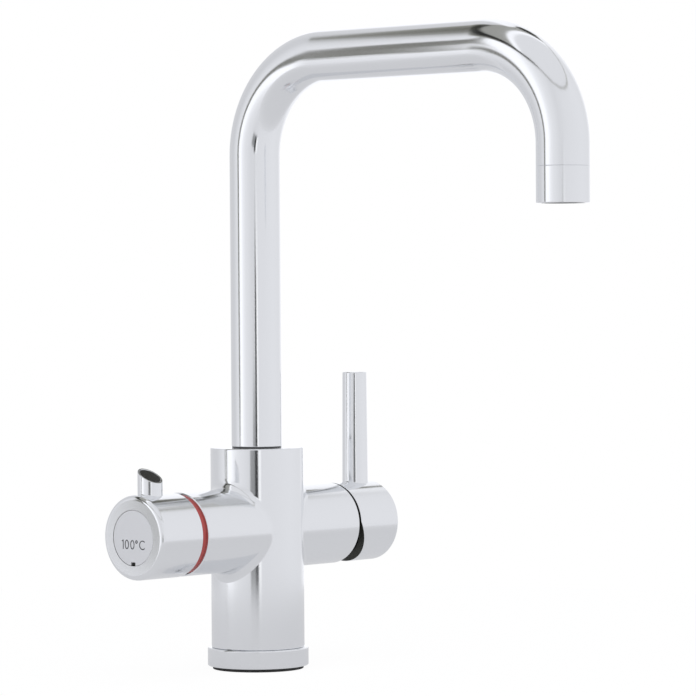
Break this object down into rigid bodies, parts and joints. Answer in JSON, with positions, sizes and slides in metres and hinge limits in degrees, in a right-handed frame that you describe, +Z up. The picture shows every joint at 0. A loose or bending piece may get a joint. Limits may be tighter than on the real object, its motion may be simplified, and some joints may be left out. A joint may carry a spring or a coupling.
{
  "type": "boiling water tap",
  "caption": "Three-way deck-mounted kitchen tap: squared swivel spout, side mixer lever and a push-and-turn boiling knob with a red ring.",
  "frame": {"origin": "centre of the base on the worktop plane, between the two stud holes", "axes": "+Z up along the barrel and riser, -Y to the front where the spout points, +X towards the mixer lever, -X towards the boiling knob"},
  "size_m": [0.1912, 0.26, 0.352],
  "materials": {
    "chrome": "polished chrome plate",
    "satin_chrome": "satin chrome disc face",
    "black_rubber": "matt rubber",
    "black_plastic": "dark glossy plastic",
    "grey_plastic": "matt grey acetal",
    "cartridge_plastic": "moulded ivory plastic",
    "red_plastic": "brick red plastic",
    "ceramic": "lapped white ceramic",
    "brass": "turned brass",
    "steel": "stainless steel"
  },
  "bodies": {
    "casting": {"body_casting": "chrome", "base_ring": "chrome", "base_gasket": "black_rubber", "spout_bush": "grey_plastic", "spout_grub_screw": "steel", "boiling_cartridge": "brass", "boiling_fixed_disc": "ceramic", "red_ring": "red_plastic", "mixer_cartridge": "cartridge_plastic", "cartridge_seals": "black_rubber", "mixer_nut": "brass"},
    "spout": {"spout_tube": "chrome", "spout_spigot": "brass", "spout_o_rings": "black_rubber", "boiling_inner_tube": "steel", "outlet_nipple": "brass", "outlet_sleeve": "chrome", "aerator_insert": "grey_plastic", "aerator_seal": "black_rubber"},
    "boiling_valve": {"boiling_spindle": "brass", "boiling_turning_disc": "ceramic", "knob_screw": "steel", "knob_spring": "steel"},
    "boiling_handle": {"boiling_knob": "chrome", "index_disc": "satin_chrome", "grip_post": "chrome", "post_pad": "black_plastic"},
    "mixer_rotor": {"mixer_carrier": "cartridge_plastic", "mixer_dome": "black_plastic", "stem_pin": "steel"},
    "mixer_handle": {"mixer_stem": "steel", "mixer_cap": "chrome", "cap_grub_screw": "steel", "mixer_lever": "chrome"}
  },
  "joints": [
    {"name": "spout_swivel", "type": "hinge", "parent": "casting", "child": "spout", "pos_m": [0, 0, 0.123], "axis": [0, 0, 1], "range_deg": [-180, 180]},
    {"name": "boiling_turn", "type": "hinge", "parent": "casting", "child": "boiling_valve", "pos_m": [-0.0668, 0, 0.0778], "axis": [1, 0, 0], "range_deg": [0, 90]},
    {"name": "boiling_push", "type": "slide", "parent": "boiling_valve", "child": "boiling_handle", "axis": [1, 0, 0], "range_m": [0, 0.0025], "stiffness_N_per_m": 1200, "springref_m": -0.0025, "deforming": ["knob_spring"]},
    {"name": "mixer_temperature", "type": "hinge", "parent": "casting", "child": "mixer_rotor", "pos_m": [0.055, 0, 0.0778], "axis": [1, 0, 0], "range_deg": [-45, 45]},
    {"name": "mixer_flow", "type": "hinge", "parent": "mixer_rotor", "child": "mixer_handle", "pos_m": [0.055, 0, 0.0778], "axis": [0, 1, 0], "range_deg": [0, 25]}
  ]
}
